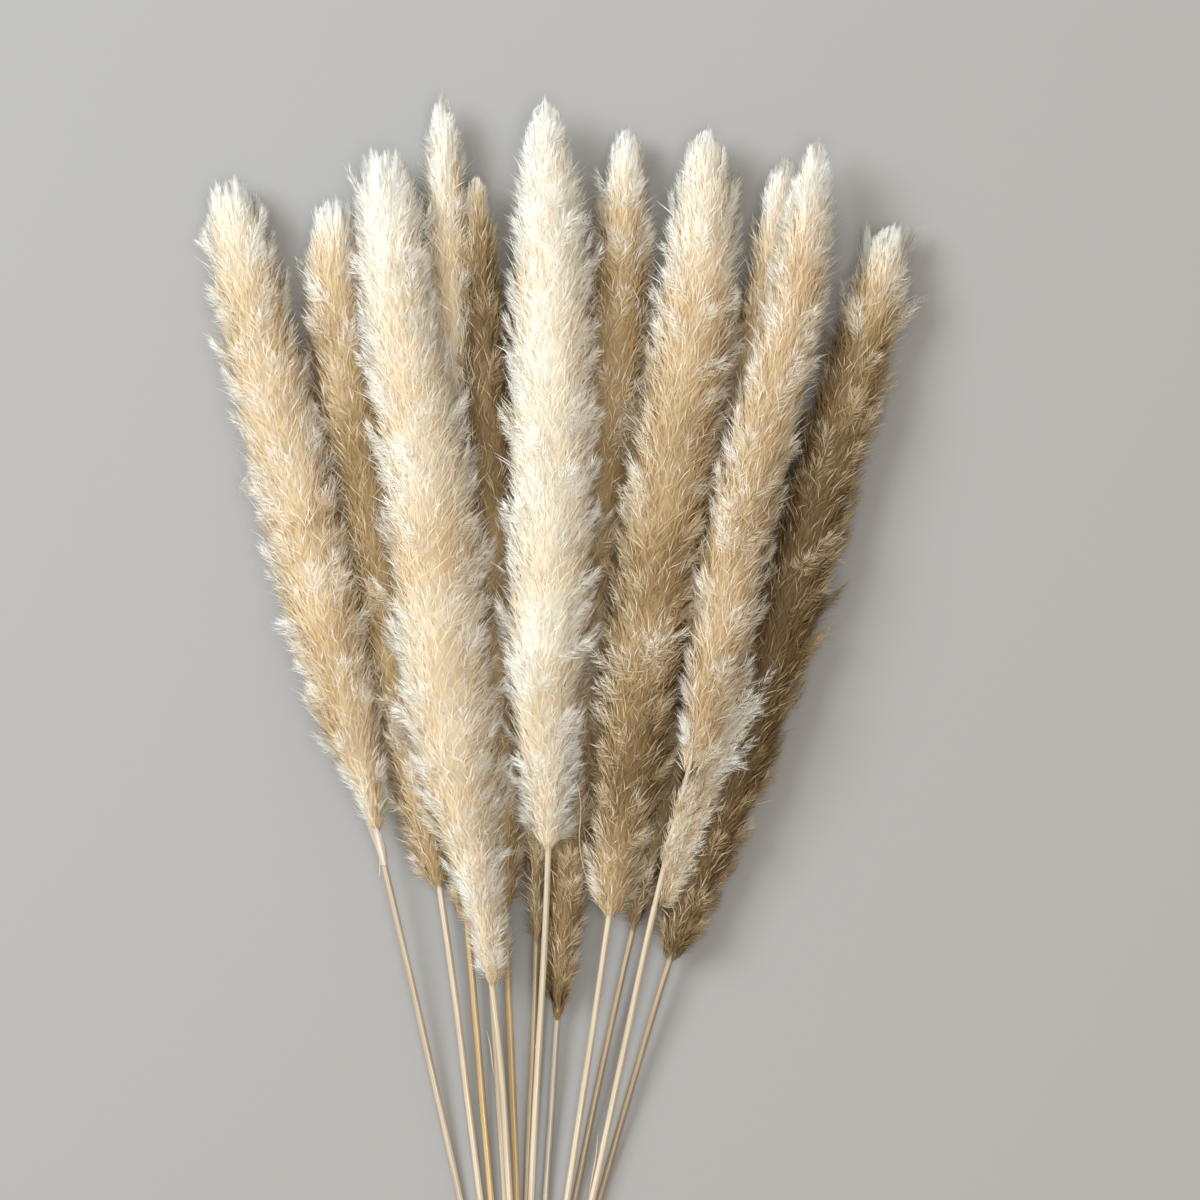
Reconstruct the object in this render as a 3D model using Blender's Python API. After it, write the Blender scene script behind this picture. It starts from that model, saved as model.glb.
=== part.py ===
"""Dried reed-grass plumes on straw stems, laid fanned on a table as one bundle.

+Y runs from the cut ends to the plume tips, +X to the right as seen from above, +Z up.
Places and sizes are in millimetres. The meshes are written in metres.
"""
import math
import random
from collections import namedtuple

import bmesh
import bpy
import numpy as np
from mathutils import Matrix, Vector

# Stems, in millimetres
STEM_RADIUS = 1.25
STEM_TOP_RADIUS = 1.05
STEM_RINGS = 12
SHEATH_THICKNESS = 1.2

# The pile that the stems gather into, and their cut ends
GATHER_X = -12.0
GATHER_Y = -187.0
MIDDLE_PLACE = 3
PILE_GAP = 0.5
PITCH = 2.0 * STEM_RADIUS + PILE_GAP
ROW_RISE = PITCH * math.sqrt(3.0) / 2.0
CUT_Y = -224.0
CUT_SPREAD = 8.0

# A plume's outline
BASE_WIDTH = 0.15
FULL_WIDTH_FROM = 0.35
SWELL = 0.55
TIP_TAPER = 32.0

# A plume's slim core, as shares of the plume's half width and of its length
CORE_SHARE = 0.54
CORE_SIDES = 8
CORE_RINGS = 9
CORE_END = 0.95
CORE_ROUNDING = 0.15
CORE_CLEARANCE = 0.3
REST_FROM = 0.3
REST_TO = 0.8
REST_SLOPE = 0.5

# Tufts
TUFTS_A_PLUME = 62
CROWN_TUFTS = 9
CROWN_ROOT = 0.9
CROWN_DOME = 0.5
TUFT_REACH = 22.0
REACH_VARIES = 0.15
BASE_REACH = 0.5
FULL_REACH_FROM = 0.2
TUFT_RADIUS = 2.4
TUFT_FIRST = 0.02
TUFT_LAST = 0.93
TUFT_END = 0.98
TIP_LEAST = 0.9
TIP_MOST = 1.05
TURN_VARIES = 0.2
ROOT_DEPTH = 0.35
ROOT_SHARE = 0.8
OUT_OF_CORE = 0.25
ROOM_SAMPLES = 7
DRAW_IN = 0.86
DRAW_IN_TRIES = 12

# Gaps that neighbours keep
TOUCH_GAP = 0.3
PLUME_GAP = 0.8

AXIS_STEPS = 40
STEM_STEPS = 100
GOLDEN_ANGLE = math.pi * (3.0 - math.sqrt(5.0))
SEED = 1127
MM = 0.001

# One stalk. Its axis runs from the plume's tip to the plume's base, and low is a point further down.
# slot is its row and place among the gathered stems, full the plume's half width, blunt the share
# of it kept at the tip, rests whether the plume lies on the table, sheath the leaf sheath's length,
# and each stray tuft is a share of the way up the plume and the place of its tip.
Stalk = namedtuple("Stalk", "name axis low slot full blunt rests sheath strays")

STALKS = (
    Stalk("01", ((-107, 197, 11), (-99.5, 160, 12), (-84, 96, 14), (-69, 32, 16), (-59, -10, 12)),
          (-32.5, -128, 1.5), (0, 0), 15.0, 0.50, True, 20,
          ((0.85, -117, 181, 13), (0.62, -102, 99, 10), (0.15, -78, 34, 14))),
    Stalk("02", ((-73, 191, 10), (-71.5, 160, 10), (-61.5, 96, 10), (-51, 32, 9), (-39, -28, 7)),
          (-26, -128, 1.4), (0, 1), 13.0, 0.55, True, 0,
          ((0.74, -84, 174, 9),)),
    Stalk("03", ((-56, 205, 17), (-52.5, 160, 24), (-44, 96, 28), (-38, 32, 27), (-22, -59, 14)),
          (-16.5, -128, 6.2), (2, 1), 13.6, 0.65, False, 0,
          ((0.86, -67, 201, 17),)),
    Stalk("04", ((-47, 181, 9), (-45, 160, 9), (-42, 96, 9), (-37, 32, 8), (-30, -40, 6)),
          (-22.5, -128, 2.0), (1, 1), 9.0, 0.40, True, 0, ()),
    Stalk("05", ((-38, 224, 11), (-35, 160, 11), (-30.5, 96, 11), (-27, 32, 9), (-23, -45, 6)),
          (-18, -128, 1.4), (0, 2), 10.5, 0.20, True, 0, ()),
    Stalk("06", ((-27, 198, 12), (-25.5, 160, 15), (-22, 96, 17), (-20.5, 32, 15), (-18, -34, 10)),
          (-14.2, -128, 3.0), (1, 2), 8.0, 0.25, False, 0, ()),
    Stalk("07", ((-9, 179, 9), (-9, 96, 9), (-9, 32, 8), (-8, -46, 6)),
          (-11, -128, 1.4), (0, 3), 12.0, 0.40, True, 0, ()),
    Stalk("08", ((-5, 222, 15), (-3, 160, 24), (-3, 96, 29), (-5, 32, 26), (-4, -15, 15)),
          (-9.5, -128, 4.8), (1, 3), 16.0, 0.20, False, 0, ()),
    Stalk("09", ((21.5, 213, 10), (18.5, 160, 10), (12, 96, 10), (6, 32, 9), (-1, -67, 5)),
          (-5, -128, 1.4), (0, 4), 12.0, 0.35, True, 16, ()),
    Stalk("10", ((47, 213, 13), (43.5, 160, 19), (34, 96, 23), (24.5, 32, 21), (15.5, -37, 12)),
          (2, -128, 4.2), (1, 4), 16.2, 0.30, False, 0, ()),
    Stalk("11", ((71.5, 204, 10), (66, 160, 10), (55, 96, 10), (42, 32, 9), (23, -42, 7)),
          (4.5, -128, 1.4), (0, 5), 10.5, 0.35, True, 0, ()),
    Stalk("12", ((82, 209, 18), (75, 160, 25), (59, 96, 28), (46, 32, 25), (30, -34, 14)),
          (10, -128, 4.6), (1, 5), 12.2, 0.20, False, 0,
          ((0.22, 66, 32, 26), (0.14, 62, 20, 23), (0.18, 58, 12, 27))),
    Stalk("13", ((106, 182, 11), (101, 160, 11), (82, 96, 11), (63, 32, 11), (35, -51, 8)),
          (12.5, -128, 1.4), (0, 6), 12.8, 0.50, True, 0,
          ((0.84, 117, 161, 12), (0.80, 90, 166, 13))),
)

CREAM = (0.80, 0.66, 0.46)
STRAW = (0.72, 0.56, 0.34)


def catmull_rom(points, steps, finish=None):
    """A smooth curve through the points, with steps to each span, that ends along finish."""
    known = [np.array(point, float) for point in points]
    beyond = 2 * known[-1] - known[-2]
    if finish is not None:
        beyond = known[-2] + 2 * np.linalg.norm(known[-1] - known[-2]) * np.array(finish, float)
    padded = [2 * known[0] - known[1]] + known + [beyond]
    curve = []
    for first, start, end, last in zip(padded, padded[1:], padded[2:], padded[3:]):
        span = np.linalg.norm(end - start)
        leave = (end - first) * span / (span + np.linalg.norm(start - first))
        arrive = (last - start) * span / (span + np.linalg.norm(last - end))
        for step in range(steps):
            t = step / steps
            curve.append((2 * t**3 - 3 * t**2 + 1) * start + (t**3 - 2 * t**2 + t) * leave
                         + (3 * t**2 - 2 * t**3) * end + (t**3 - t**2) * arrive)
    curve.append(known[-1])
    return np.array(curve)


def along(curve, distance):
    """The point and the unit direction on a curve at a distance from its start."""
    pieces = np.diff(curve, axis=0)
    lengths = np.linalg.norm(pieces, axis=1)
    ends = np.cumsum(lengths)
    index = min(int(np.searchsorted(ends, distance)), len(lengths) - 1)
    left = distance - (ends[index] - lengths[index])
    direction = pieces[index] / lengths[index]
    return curve[index] + direction * left, direction


def curve_length(curve):
    return float(np.linalg.norm(np.diff(curve, axis=0), axis=1).sum())


def slot_point(stalk, y):
    """The place of a stem's centre in the gathered pile."""
    row, place = stalk.slot
    x = GATHER_X + (place - MIDDLE_PLACE + row / 2) * PITCH
    return (x, y, STEM_RADIUS + row * ROW_RISE)


def plume_curve(stalk):
    """The plume's axis, from its base to its tip."""
    whole = catmull_rom([*stalk.axis, stalk.low], AXIS_STEPS)
    return whole[:AXIS_STEPS * (len(stalk.axis) - 1) + 1][::-1]


def stem_curve(stalk, cut_y):
    """The stem's axis, from the plume's base to the cut end."""
    route = [*stalk.axis[-2:], stalk.low, slot_point(stalk, GATHER_Y)]
    fanned = catmull_rom(route, STEM_STEPS, finish=(0, -1, 0))[STEM_STEPS:]
    fanned[:, 2] = np.maximum(fanned[:, 2], STEM_RADIUS)
    straight = np.linspace(slot_point(stalk, GATHER_Y), slot_point(stalk, cut_y), AXIS_STEPS)
    return np.vstack((fanned, straight[1:]))


def half_width(stalk, share, length):
    """The plume's half width at a share of the way from its base to its tip."""
    from_tip = (1.0 - share) * length
    tip_part = stalk.blunt + (1.0 - stalk.blunt) * (1.0 - math.exp(-from_tip / TIP_TAPER))
    base_part = BASE_WIDTH + (1.0 - BASE_WIDTH) * (share / FULL_WIDTH_FROM) ** SWELL
    return stalk.full * tip_part * min(1.0, base_part)


class Layout:
    """The axes of every plume and stem, which tell where a plume has room."""

    def __init__(self):
        rng = random.Random(SEED)
        self.plumes = {}
        self.stems = {}
        self.widths = {}
        for stalk in STALKS:
            cut_y = CUT_Y + rng.uniform(0.0, CUT_SPREAD)
            curve = plume_curve(stalk)
            self.plumes[stalk.name] = curve
            self.stems[stalk.name] = stem_curve(stalk, cut_y)
            steps = np.linalg.norm(np.diff(curve, axis=0), axis=1)
            shares = np.concatenate(([0.0], np.cumsum(steps))) / steps.sum()
            self.widths[stalk.name] = np.array([half_width(stalk, share, steps.sum()) for share in shares])

    def depth(self, name, points):
        """How far outside a plume's outline each point lies, below zero inside it."""
        gaps = np.linalg.norm(points[:, None, :] - self.plumes[name][None, :, :], axis=2)
        return (gaps - self.widths[name][None, :]).min(axis=1)

    def room(self, name, points):
        """How far inside its own plume's space each point lies."""
        points = np.asarray(points, float)
        own = self.depth(name, points)
        room = points[:, 2].copy()
        for other, stem in self.stems.items():
            if other == name:
                continue
            room = np.minimum(room, (self.depth(other, points) - own - PLUME_GAP) / 2)
            gaps = np.linalg.norm(points[:, None, :] - stem[None, :, :], axis=2).min(axis=1)
            room = np.minimum(room, gaps - STEM_RADIUS - PLUME_GAP)
        return room


class Plume:
    """One plume's axis, with the places round it."""

    def __init__(self, stalk, layout):
        self.stalk = stalk
        self.layout = layout
        self.curve = layout.plumes[stalk.name]
        self.length = curve_length(self.curve)

    def width(self, share):
        return half_width(self.stalk, share, self.length)

    def centre(self, share):
        return along(self.curve, share * self.length)[0]

    def outward(self, share, angle):
        """A unit direction across the axis: level at angle 0, upward at a quarter turn."""
        direction = along(self.curve, share * self.length)[1]
        side = np.cross(direction, (0.0, 0.0, 1.0))
        side /= np.linalg.norm(side)
        return math.cos(angle) * side + math.sin(angle) * np.cross(side, direction)

    def room(self, points):
        return self.layout.room(self.stalk.name, points)


def core_section(plume, ring):
    """One ring of the core, drawn in where a neighbour is near and flat where it meets the table."""
    share = CORE_END * ring / (CORE_RINGS - 1)
    centre = plume.centre(share)
    rounding = min(1.0, math.sqrt((1.0 - share) / CORE_ROUNDING))
    radius = CORE_SHARE * plume.width(share) * rounding
    if ring == 0:
        radius = STEM_RADIUS
    on_table = plume.stalk.rests and REST_FROM < share < REST_TO
    section = []
    for corner in range(CORE_SIDES):
        angle = 2 * math.pi * corner / CORE_SIDES
        arm = radius * plume.outward(share, angle)
        while ring > 0 and plume.room([centre + arm])[0] < CORE_CLEARANCE:
            arm *= DRAW_IN
        point = centre + arm
        if on_table and math.sin(angle) < -REST_SLOPE:
            point[2] = 0.0
        section.append(point)
    return section


def make_object(name, bm):
    """An object in metres from a bmesh in millimetres."""
    bmesh.ops.scale(bm, vec=(MM, MM, MM), verts=bm.verts)
    bmesh.ops.recalc_face_normals(bm, faces=bm.faces)
    mesh = bpy.data.meshes.new(name)
    bm.to_mesh(mesh)
    bm.free()
    return bpy.data.objects.new(name, mesh)


def make_core(plume):
    """A loft through the core's rings, closed at both ends."""
    bm = bmesh.new()
    rings = []
    for ring in range(CORE_RINGS):
        rings.append([bm.verts.new(point) for point in core_section(plume, ring)])
    for ring, following in zip(rings, rings[1:]):
        for corner in range(CORE_SIDES):
            beside = (corner + 1) % CORE_SIDES
            bm.faces.new((ring[corner], ring[beside], following[beside], following[corner]))
    bm.faces.new(rings[0][::-1])
    bm.faces.new(rings[-1])
    bmesh.ops.triangulate(bm, faces=bm.faces)
    return make_object("plume_" + plume.stalk.name, bm)


def make_tuft(root, tip, radius):
    """A three-sided needle from a root inside the core to its tip."""
    bm = bmesh.new()
    line = Vector(tip - root)
    turn = line.to_track_quat("Z", "Y").to_matrix().to_4x4()
    middle = Matrix.Translation(Vector(tip + root) / 2)
    bmesh.ops.create_cone(bm, cap_ends=True, segments=3, radius1=radius, radius2=0.0,
                          depth=line.length, matrix=middle @ turn)
    return make_object("tuft", bm)


def fits(plume, root, tip, radius):
    """Whether a tuft stays in its own plume's space, from where it leaves the core to its tip."""
    shares = np.linspace(OUT_OF_CORE, 1.0, ROOM_SAMPLES)
    points = root + shares[:, None] * (tip - root)
    return bool(np.all(plume.room(points) >= radius * (1.0 - shares)))


def add_tuft(tufts, plume, root, tip, tip_share, radius):
    """Adds a tuft, its tip drawn toward the plume's axis until it is clear of the neighbours."""
    anchor = plume.centre(tip_share)
    for _ in range(DRAW_IN_TRIES):
        tip[2] = max(tip[2], 0.0)
        if fits(plume, root, tip, radius):
            tufts.append(make_tuft(root, tip, radius))
            return
        tip = anchor + (tip - anchor) * DRAW_IN


def make_tufts(plume):
    """Every tuft of a plume: up its sides, on its crown, and the stray ones."""
    rng = random.Random(SEED + int(plume.stalk.name))
    tufts = []
    for index in range(TUFTS_A_PLUME):
        share = TUFT_FIRST + (TUFT_LAST - TUFT_FIRST) * (index + 0.5) / TUFTS_A_PLUME
        outward = plume.outward(share, index * GOLDEN_ANGLE + rng.uniform(-TURN_VARIES, TURN_VARIES))
        grown = min(1.0, BASE_REACH + (1.0 - BASE_REACH) * share / FULL_REACH_FROM)
        reach = TUFT_REACH * rng.uniform(1.0 - REACH_VARIES, 1.0 + REACH_VARIES) * grown
        tip_share = min(share + reach / plume.length, TUFT_END)
        core_radius = CORE_SHARE * plume.width(share)
        root = plume.centre(share) + outward * core_radius * ROOT_DEPTH
        spread = plume.width(tip_share) * rng.uniform(TIP_LEAST, TIP_MOST)
        tip = plume.centre(tip_share) + outward * spread
        add_tuft(tufts, plume, root, tip, tip_share, min(TUFT_RADIUS, ROOT_SHARE * core_radius))
    for index in range(CROWN_TUFTS):
        outward = plume.outward(CROWN_ROOT, index * GOLDEN_ANGLE)
        spread = math.sqrt(index / CROWN_TUFTS) * plume.width(1.0)
        dome = CROWN_DOME * spread**2 / plume.width(1.0)
        tip_share = 1.0 - dome / plume.length
        root = plume.centre(CROWN_ROOT) + outward * ROOT_DEPTH
        tip = plume.centre(tip_share) + outward * spread
        radius = min(TUFT_RADIUS, ROOT_SHARE * CORE_SHARE * plume.width(1.0))
        add_tuft(tufts, plume, root, tip, tip_share, radius)
    for share, *place in plume.stalk.strays:
        tip_share = min(1.0, share + TUFT_REACH / plume.length)
        add_tuft(tufts, plume, plume.centre(share), np.array(place, float), tip_share, TUFT_RADIUS)
    return tufts


def join_tufts(core, tufts):
    """One Boolean union of the core and its tufts, applied to the core's mesh."""
    cluster = bpy.data.collections.new("tufts")
    for tuft in tufts:
        cluster.objects.link(tuft)
    bpy.context.scene.collection.children.link(cluster)
    union = core.modifiers.new("tufts", "BOOLEAN")
    union.operation = "UNION"
    union.operand_type = "COLLECTION"
    union.collection = cluster
    evaluated = core.evaluated_get(bpy.context.evaluated_depsgraph_get())
    joined = bpy.data.meshes.new_from_object(evaluated)
    core.modifiers.clear()
    core.data = joined
    for tuft in tufts:
        bpy.data.objects.remove(tuft, do_unlink=True)
    bpy.data.collections.remove(cluster)


def keep_largest(plume):
    """Drops any loose scrap that the union leaves."""
    bm = bmesh.new()
    bm.from_mesh(plume.data)
    left = set(bm.verts)
    bodies = []
    while left:
        seed = left.pop()
        body = {seed}
        reached = [seed]
        while reached:
            vert = reached.pop()
            for edge in vert.link_edges:
                beyond = edge.other_vert(vert)
                if beyond in left:
                    left.remove(beyond)
                    body.add(beyond)
                    reached.append(beyond)
        bodies.append(body)
    bodies.sort(key=len)
    for body in bodies[:-1]:
        bmesh.ops.delete(bm, geom=list(body), context="VERTS")
    bm.to_mesh(plume.data)
    bm.free()


def make_plume(stalk, layout, parts, material):
    """A plume: its slim core with the tufts fused to it."""
    plume = Plume(stalk, layout)
    core = make_core(plume)
    parts.objects.link(core)
    join_tufts(core, make_tufts(plume))
    keep_largest(core)
    core.data.name = core.name
    core.data.materials.clear()
    core.data.materials.append(material)


def make_stem(stalk, layout, parts, material):
    """A straw stem from just under its plume to its cut end, thicker in its leaf sheath."""
    curve = layout.stems[stalk.name]
    length = curve_length(curve)
    data = bpy.data.curves.new("stem_" + stalk.name, "CURVE")
    data.dimensions = "3D"
    data.bevel_depth = STEM_RADIUS * MM
    data.bevel_resolution = 2
    data.use_fill_caps = True
    data.materials.append(material)
    stations = [TOUCH_GAP] + [length * step / STEM_RINGS for step in range(1, STEM_RINGS + 1)]
    if stalk.sheath:
        stations[1:1] = [0.5 * stalk.sheath]
    spline = data.splines.new("POLY")
    spline.points.add(len(stations) - 1)
    for point, station in zip(spline.points, stations):
        place = along(curve, station)[0] * MM
        radius = STEM_TOP_RADIUS + (STEM_RADIUS - STEM_TOP_RADIUS) * station / length
        if station < stalk.sheath:
            radius += SHEATH_THICKNESS * (1.0 - station / stalk.sheath)
        point.co = (*place, 1.0)
        point.radius = radius / STEM_RADIUS
    parts.objects.link(bpy.data.objects.new("stem_" + stalk.name, data))


def make_material(name, colour, roughness):
    material = bpy.data.materials.new(name)
    material.use_nodes = True
    shader = material.node_tree.nodes["Principled BSDF"]
    shader.inputs["Base Color"].default_value = (*colour, 1.0)
    shader.inputs["Roughness"].default_value = roughness
    return material


def centre_on_origin(parts):
    """Moves everything so that the middle of its outline from above is at the origin."""
    graph = bpy.context.evaluated_depsgraph_get()
    points = []
    for part in parts.objects:
        evaluated = part.evaluated_get(graph)
        points += [tuple(vert.co) for vert in evaluated.to_mesh().vertices]
        evaluated.to_mesh_clear()
    middle = (np.min(points, axis=0) + np.max(points, axis=0)) / 2
    for part in parts.objects:
        part.location = (-middle[0], -middle[1], 0.0)


def main():
    for old in list(bpy.data.objects):
        bpy.data.objects.remove(old, do_unlink=True)
    parts = bpy.data.collections.new("plume_bundle")
    bpy.context.scene.collection.children.link(parts)
    cream = make_material("plume_cream", CREAM, 0.9)
    straw = make_material("stem_straw", STRAW, 0.6)
    layout = Layout()
    for stalk in STALKS:
        make_plume(stalk, layout, parts, cream)
        make_stem(stalk, layout, parts, straw)
    centre_on_origin(parts)


main()
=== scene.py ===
"""Looks for a bundle of dried reed-grass plumes, lying fanned out and seen from straight above.

Each plume is thousands of fine hairs on small feathery branches round a slim core, and each stem is a
ridged straw. Sizes are in millimetres in the part's own frame, meshes in metres, and angles in radians
unless they say degrees. A share is one of the way up a plume or down a stem. The angle round an axis is
a quarter turn at the top, and 0 on the right of a plume or the left of a stem.
"""
import math
from collections import namedtuple

import bpy
import numpy as np
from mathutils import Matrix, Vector


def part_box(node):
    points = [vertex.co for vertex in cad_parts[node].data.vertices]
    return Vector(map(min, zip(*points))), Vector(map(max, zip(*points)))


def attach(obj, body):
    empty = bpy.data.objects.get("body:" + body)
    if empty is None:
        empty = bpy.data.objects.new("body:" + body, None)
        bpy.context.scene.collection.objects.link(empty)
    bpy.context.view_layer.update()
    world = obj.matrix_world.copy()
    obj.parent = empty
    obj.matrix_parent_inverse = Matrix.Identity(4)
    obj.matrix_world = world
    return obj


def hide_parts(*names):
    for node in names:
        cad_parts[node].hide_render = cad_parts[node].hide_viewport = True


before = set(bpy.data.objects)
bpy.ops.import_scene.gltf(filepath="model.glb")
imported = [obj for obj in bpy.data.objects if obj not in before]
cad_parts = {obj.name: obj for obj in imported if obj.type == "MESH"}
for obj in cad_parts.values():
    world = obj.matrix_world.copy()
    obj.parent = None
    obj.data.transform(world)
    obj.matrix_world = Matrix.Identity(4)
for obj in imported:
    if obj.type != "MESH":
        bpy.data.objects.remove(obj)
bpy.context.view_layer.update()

MM = 0.001
SEED = 4127
GOLDEN_ANGLE = math.pi * (3.0 - math.sqrt(5.0))
UV_NAME = "OFBake"

# The photograph's frame: its width and its middle, both at a height above the floor
PHOTO_WIDTH = 384.0
PHOTO_MIDDLE = (12.5, 64.0)
PHOTO_PLANE = 12.0
LENS = 200.0
SENSOR = 36.0

# The stems and the pile that they gather in, as the solids have them
STEM_RADIUS = 1.25
STEM_TOP_RADIUS = 1.05
GATHER_X = -12.0
GATHER_Y = -187.0
MIDDLE_PLACE = 3
PILE_GAP = 0.5
PITCH = 2.0 * STEM_RADIUS + PILE_GAP
ROW_RISE = PITCH * math.sqrt(3.0) / 2.0
AXIS_STEPS = 40
STEM_STEPS = 100

# A plume's outline: how much of its full width it has at the base, where it is full, how it swells to
# there, and over what length it narrows to the tip. Hairs stay this far clear of the floor.
BASE_WIDTH = 0.15
FULL_WIDTH_FROM = 0.35
SWELL = 0.48
TIP_TAPER = 32.0
FLOOR_CLEAR = 0.08

# The dome that rounds off the tip: its length in half widths there, how late it closes, and how far
DOME_LENGTH = 1.3
DOME_POWER = 1.5
DOME_DEPTH = 0.9

# A plume that is wider than high gets round by this share, over this span.
ROUND_BY = 0.9
ROUND_OVER = 0.2

# A leaf sheath at a stem's top: how far it goes below the plume's base and above it, its radius there,
# the angle in degrees that its middle faces, its colour, and how pointed it is, from 0 to 1 for a V.
Sheath = namedtuple("Sheath", "below above radius middle colour point")

# One stalk. Its first two lines hold the route that its solids have too: its axis from the plume's tip
# to its base, a point further down the stem, its row and place among the gathered stems, its half width
# and the share of it kept at the tip. The rest holds its looks: how many thousand hairs it has, its
# tones at TONE_SHARES, from 0 for white to 1 for brown, how ruffled it is, how many times as wide as
# high, its straw's colour, its sheath, and its stray tufts, each a share and the place of its tip.
Stalk = namedtuple("Stalk", "name axis low slot full blunt thousands tones ruffle flat straw sheath strays")
TONE_SHARES = (0.02, 0.2, 0.55, 0.84, 1.0)

STALKS = (
    Stalk("01", ((-107, 197, 11), (-99.5, 160, 12), (-84, 96, 14), (-69, 32, 16), (-59, -10, 12)),
          (-32.5, -128, 1.5), (0, 0), 15.0, 0.50,
          38, (0.32, 0.40, 0.37, 0.33, 0.03), 0.25, 1.0, "cream",
          Sheath(11.0, 9.0, 3.4, 30.0, "skin", 0.0),
          ((0.85, -117, 181, 13), (0.62, -102, 99, 10), (0.15, -78, 34, 14))),
    Stalk("02", ((-73, 191, 10), (-71.5, 160, 10), (-61.5, 96, 10), (-51, 32, 9), (-39, -28, 7)),
          (-26, -128, 1.4), (0, 1), 13.0, 0.55,
          34, (0.60, 0.52, 0.69, 0.48, 0.08), 0.35, 1.12, "pale", None,
          ((0.74, -84, 174, 9),)),
    Stalk("03", ((-56, 205, 17), (-52.5, 160, 24), (-44, 96, 28), (-38, 32, 27), (-22, -59, 14)),
          (-16.5, -128, 6.2), (2, 1), 13.6, 0.65,
          50, (0.28, 0.22, 0.32, 0.15, 0.03), 0.35, 1.0, "pale", None,
          ((0.86, -67, 201, 17),)),
    Stalk("04", ((-47, 181, 9), (-45, 160, 9), (-42, 96, 9), (-37, 32, 8), (-30, -40, 6)),
          (-22.5, -128, 2.0), (1, 1), 9.0, 0.40,
          14, (0.60, 0.60, 0.60, 0.42, 0.36), 0.3, 1.25, "gold", None, ()),
    # Plume 05 is paler mid-way up: painted light where it lies in the shade of 03 and 08.
    Stalk("05", ((-38, 224, 11), (-35, 160, 11), (-30.5, 96, 11), (-27, 32, 9), (-23, -45, 6)),
          (-18, -128, 1.4), (0, 2), 10.5, 0.20,
          28, (0.50, 0.36, 0.20, 0.32, 0.05), 0.3, 1.15, "cream", None, ()),
    Stalk("06", ((-27, 198, 12), (-25.5, 160, 15), (-22, 96, 17), (-20.5, 32, 15), (-18, -34, 10)),
          (-14.2, -128, 3.0), (1, 2), 8.0, 0.25,
          22, (0.60, 0.58, 0.74, 0.90, 0.40), 0.4, 1.35, "gold", None, ()),
    Stalk("07", ((-9, 179, 9), (-9, 96, 9), (-9, 32, 8), (-8, -46, 6)),
          (-11, -128, 1.4), (0, 3), 12.0, 0.40,
          25, (0.62, 0.62, 0.60, 0.50, 0.50), 0.6, 1.35, "tan", None, ()),
    Stalk("08", ((-5, 222, 15), (-3, 160, 24), (-3, 96, 29), (-5, 32, 26), (-4, -15, 15)),
          (-9.5, -128, 4.8), (1, 3), 16.0, 0.20,
          44, (0.24, 0.16, 0.20, 0.10, 0.01), 0.6, 1.0, "pale", None, ()),
    Stalk("09", ((21.5, 213, 10), (18.5, 160, 10), (12, 96, 10), (6, 32, 9), (-1, -67, 5)),
          (-5, -128, 1.4), (0, 4), 12.0, 0.35,
          36, (0.80, 0.66, 0.60, 0.60, 0.10), 0.45, 1.35, "grey",
          Sheath(4.2, 5.0, 2.9, 90.0, "husk", 1.0), ()),
    Stalk("10", ((47, 213, 13), (43.5, 160, 19), (34, 96, 23), (24.5, 32, 21), (15.5, -37, 12)),
          (2, -128, 4.2), (1, 4), 16.2, 0.30,
          44, (0.44, 0.75, 0.59, 0.26, 0.05), 0.65, 1.0, "pale", None, ()),
    Stalk("11", ((71.5, 204, 10), (66, 160, 10), (55, 96, 10), (42, 32, 9), (23, -42, 7)),
          (4.5, -128, 1.4), (0, 5), 10.5, 0.35,
          26, (0.70, 0.70, 0.66, 0.40, 0.10), 0.3, 1.3, "tan", None, ()),
    Stalk("12", ((82, 209, 18), (75, 160, 25), (59, 96, 28), (46, 32, 25), (30, -34, 14)),
          (10, -128, 4.6), (1, 5), 12.2, 0.20,
          40, (0.52, 0.46, 0.47, 0.38, 0.03), 0.35, 1.0, "pale", None,
          ((0.22, 66, 32, 26), (0.14, 62, 20, 23), (0.18, 58, 12, 27))),
    Stalk("13", ((106, 182, 11), (101, 160, 11), (82, 96, 11), (63, 32, 11), (35, -51, 8)),
          (12.5, -128, 1.4), (0, 6), 12.8, 0.50,
          38, (0.84, 0.90, 0.86, 0.74, 0.10), 0.35, 1.0, "tan", None,
          ((0.84, 117, 161, 12), (0.80, 90, 166, 13))),
)


def unit(vectors):
    """The vectors at a length of 1."""
    return vectors / np.maximum(np.linalg.norm(vectors, axis=-1, keepdims=True), 1e-9)


def turned(first, second, angle):
    """Directions turned by angles from the first ones towards the second."""
    return first * np.cos(angle)[..., None] + second * np.sin(angle)[..., None]


def catmull_rom(points, steps, finish=None):
    """A smooth curve through the points, with steps to each span, that ends along finish."""
    known = [np.array(point, float) for point in points]
    beyond = 2 * known[-1] - known[-2]
    if finish is not None:
        beyond = known[-2] + 2 * np.linalg.norm(known[-1] - known[-2]) * np.array(finish, float)
    padded = [2 * known[0] - known[1]] + known + [beyond]
    curve = []
    for first, start, end, last in zip(padded, padded[1:], padded[2:], padded[3:]):
        span = np.linalg.norm(end - start)
        leave = (end - first) * span / (span + np.linalg.norm(start - first))
        arrive = (last - start) * span / (span + np.linalg.norm(last - end))
        for step in range(steps):
            t = step / steps
            curve.append((2 * t**3 - 3 * t**2 + 1) * start + (t**3 - 2 * t**2 + t) * leave
                         + (3 * t**2 - 2 * t**3) * end + (t**3 - t**2) * arrive)
    curve.append(known[-1])
    return np.array(curve)


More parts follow.
